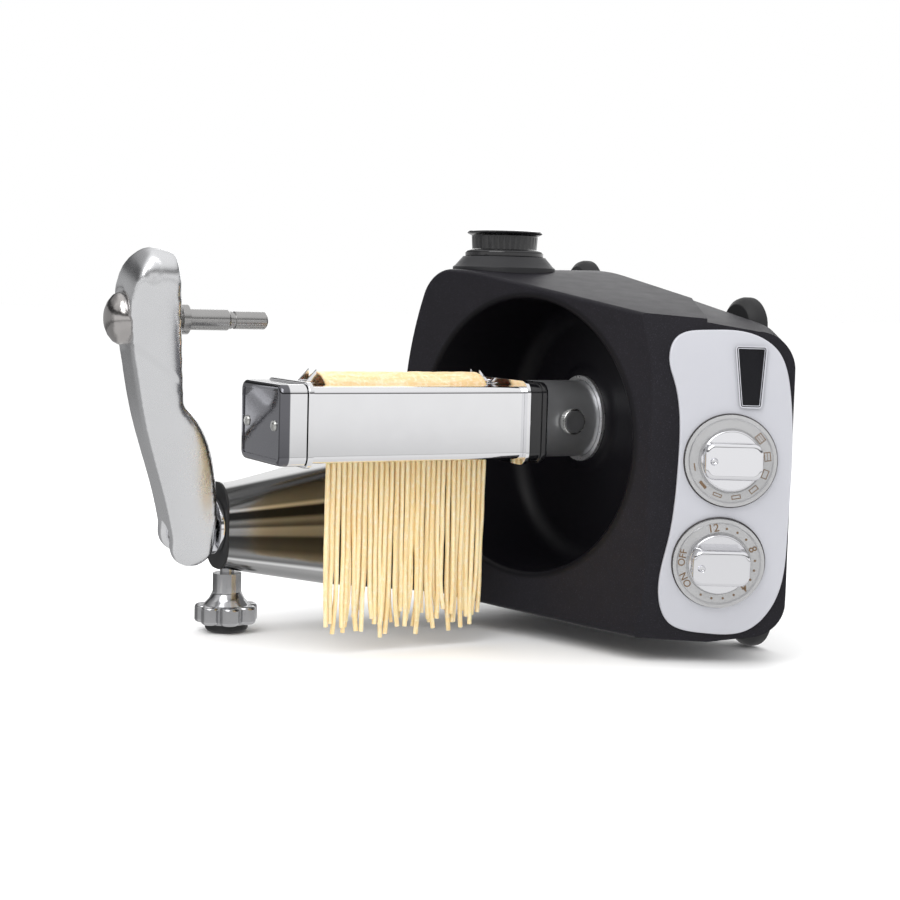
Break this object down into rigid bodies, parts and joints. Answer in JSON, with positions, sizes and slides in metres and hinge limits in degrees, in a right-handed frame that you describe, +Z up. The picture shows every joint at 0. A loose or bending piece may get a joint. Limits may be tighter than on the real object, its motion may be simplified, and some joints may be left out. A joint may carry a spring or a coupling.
{
  "type": "kitchen machine with pasta cutter",
  "caption": "Kitchen machine lying on its side, with a pasta cutter on its drive hub, a folding roller arm, two dials and hanging strands of pasta",
  "frame": {"origin": "middle of the whole object's box in X and Y, at the level it stands on", "axes": "+X from the arm along the drive axis to the base, -Y towards the dials, +Z up as the machine lies on its side"},
  "size_m": [0.433, 0.3528, 0.2897],
  "materials": {
    "housing_paint": "fine-grained satin anthracite",
    "base_plate": "matt black",
    "screw_steel": "zinc plated",
    "black_rubber": "moulded, matt",
    "panel_paint": "pale satin silver",
    "badge_black": "blank gloss black with a silver border",
    "dial_silver": "clear over silver",
    "knob_chrome": "polished",
    "dark_plastic": "moulded",
    "circuit_board": "solder mask",
    "hub_ring": "satin",
    "shaft_steel": "ground",
    "bronze": "sintered",
    "gear_plastic": "natural nylon",
    "motor_case": "grey",
    "motor_alu": "die cast",
    "lamination": "laminated",
    "carbon": "carbon",
    "cap_gloss": "gloss black",
    "column_chrome": "mirror polished",
    "cast_alu": "satin polished casting",
    "cutter_chrome": "mirror plated",
    "hub_grey": "satin grey",
    "thumb_screw": "knurled",
    "pasta_dough": "floured dough"
  },
  "bodies": {
    "machine": {"main_housing": "housing_paint", "base_plate": "base_plate", "base_screws": "screw_steel", "base_feet": "black_rubber", "control_panel": "panel_paint", "badge": "badge_black", "speed_dial": "dial_silver", "speed_sensor": "dark_plastic", "timer_dial": "dial_silver", "timer_unit": "dark_plastic", "circuit_board": "circuit_board", "hub_ring": "hub_ring", "drive_bearings": "bronze", "motor_case": "motor_case", "motor_end_plates": "motor_alu", "motor_bracket": "shaft_steel", "motor_stator": "lamination", "motor_brushes": "carbon", "outlet_skirt": "dark_plastic", "outlet_collar": "cap_gloss", "cord_gland": "black_rubber", "arm_pedestal": "housing_paint", "column_sleeve": "column_chrome", "column_gaskets": "black_rubber", "column_post": "shaft_steel", "cutter_front_cover": "cutter_chrome", "cutter_rear_cover": "cutter_chrome", "cutter_end_plates": "screw_steel", "cutter_tie_rods": "screw_steel", "roller_combs": "gear_plastic", "left_end_cap": "cutter_chrome", "cutter_flanges": "cutter_chrome", "right_end_cap": "cap_gloss", "attachment_hub": "hub_grey", "end_cap_screws": "screw_steel", "sheet_guides": "cutter_chrome", "dough_sheet": "pasta_dough", "pasta_strands": "pasta_dough"},
    "drive_train": {"drive_shaft": "shaft_steel", "drive_gear": "gear_plastic", "coupling_shaft": "shaft_steel", "driven_roller": "shaft_steel", "driven_roller_gear": "shaft_steel"},
    "motor_spindle": {"motor_shaft": "shaft_steel", "motor_pinion": "shaft_steel", "motor_rotor": "lamination"},
    "idle_spindle": {"idle_roller": "shaft_steel", "idle_roller_gear": "shaft_steel"},
    "speed_control": {"speed_knob": "knob_chrome"},
    "timer_control": {"timer_knob": "knob_chrome"},
    "arm_swivel": {"hinge_block": "column_chrome", "hinge_pin": "shaft_steel"},
    "arm_casting": {"arm": "cast_alu", "axle_pin": "shaft_steel"},
    "arm_knob": {"dome_knob": "column_chrome"},
    "column_lock": {"star_knob": "column_chrome", "star_knob_foot": "black_rubber"},
    "hub_lock": {"thumb_screw": "thumb_screw"},
    "outlet_lid": {"outlet_cap": "cap_gloss"}
  },
  "joints": [
    {"name": "drive_spin", "type": "hinge", "parent": "machine", "child": "drive_train", "pos_m": [0.11845, -0.01163, 0.155], "axis": [1, 0, 0], "continuous": true},
    {"name": "motor_spin", "type": "hinge", "parent": "machine", "child": "motor_spindle", "pos_m": [0.11845, 0.02377, 0.11129], "axis": [1, 0, 0], "continuous": true},
    {"name": "idle_roller_spin", "type": "hinge", "parent": "machine", "child": "idle_spindle", "pos_m": [0.11845, -0.03363, 0.155], "axis": [1, 0, 0], "continuous": true},
    {"name": "speed_knob_turn", "type": "hinge", "parent": "machine", "child": "speed_control", "pos_m": [0.14547, -0.15341, 0.13749], "axis": [-0.4692, -0.8824, 0.0364], "range_deg": [-270, 0]},
    {"name": "timer_knob_turn", "type": "hinge", "parent": "machine", "child": "timer_control", "pos_m": [0.14228, -0.14876, 0.06982], "axis": [-0.4665, -0.8773, -0.1131], "range_deg": [-300, 0]},
    {"name": "arm_swing", "type": "hinge", "parent": "machine", "child": "arm_swivel", "pos_m": [-0.11955, 0.08037, 0.075], "axis": [1, 0, 0], "range_deg": [-18, 14]},
    {"name": "arm_fold", "type": "hinge", "parent": "arm_swivel", "child": "arm_casting", "pos_m": [-0.14255, 0.08271, 0.06735], "axis": [0, -0.9563, -0.2924], "range_deg": [0, 75]},
    {"name": "dome_knob_turn", "type": "hinge", "parent": "arm_casting", "child": "arm_knob", "pos_m": [-0.20055, 0.03622, 0.2194], "axis": [1, 0, 0], "continuous": true},
    {"name": "star_knob_turn", "type": "hinge", "parent": "machine", "child": "column_lock", "pos_m": [-0.11255, 0.08037, 0], "axis": [0, 0, 1], "continuous": true},
    {"name": "thumb_screw_turn", "type": "hinge", "parent": "machine", "child": "hub_lock", "pos_m": [0.0932, -0.03863, 0.155], "axis": [0, -1, 0], "continuous": true},
    {"name": "outlet_cap_lift", "type": "slide", "parent": "machine", "child": "outlet_lid", "axis": [0, 0, 1], "range_m": [0, 0.03]}
  ],
  "couplings": [
    {"joint": "motor_spin", "follows": "drive_spin", "ratio": -4},
    {"joint": "idle_roller_spin", "follows": "drive_spin", "ratio": -1}
  ]
}
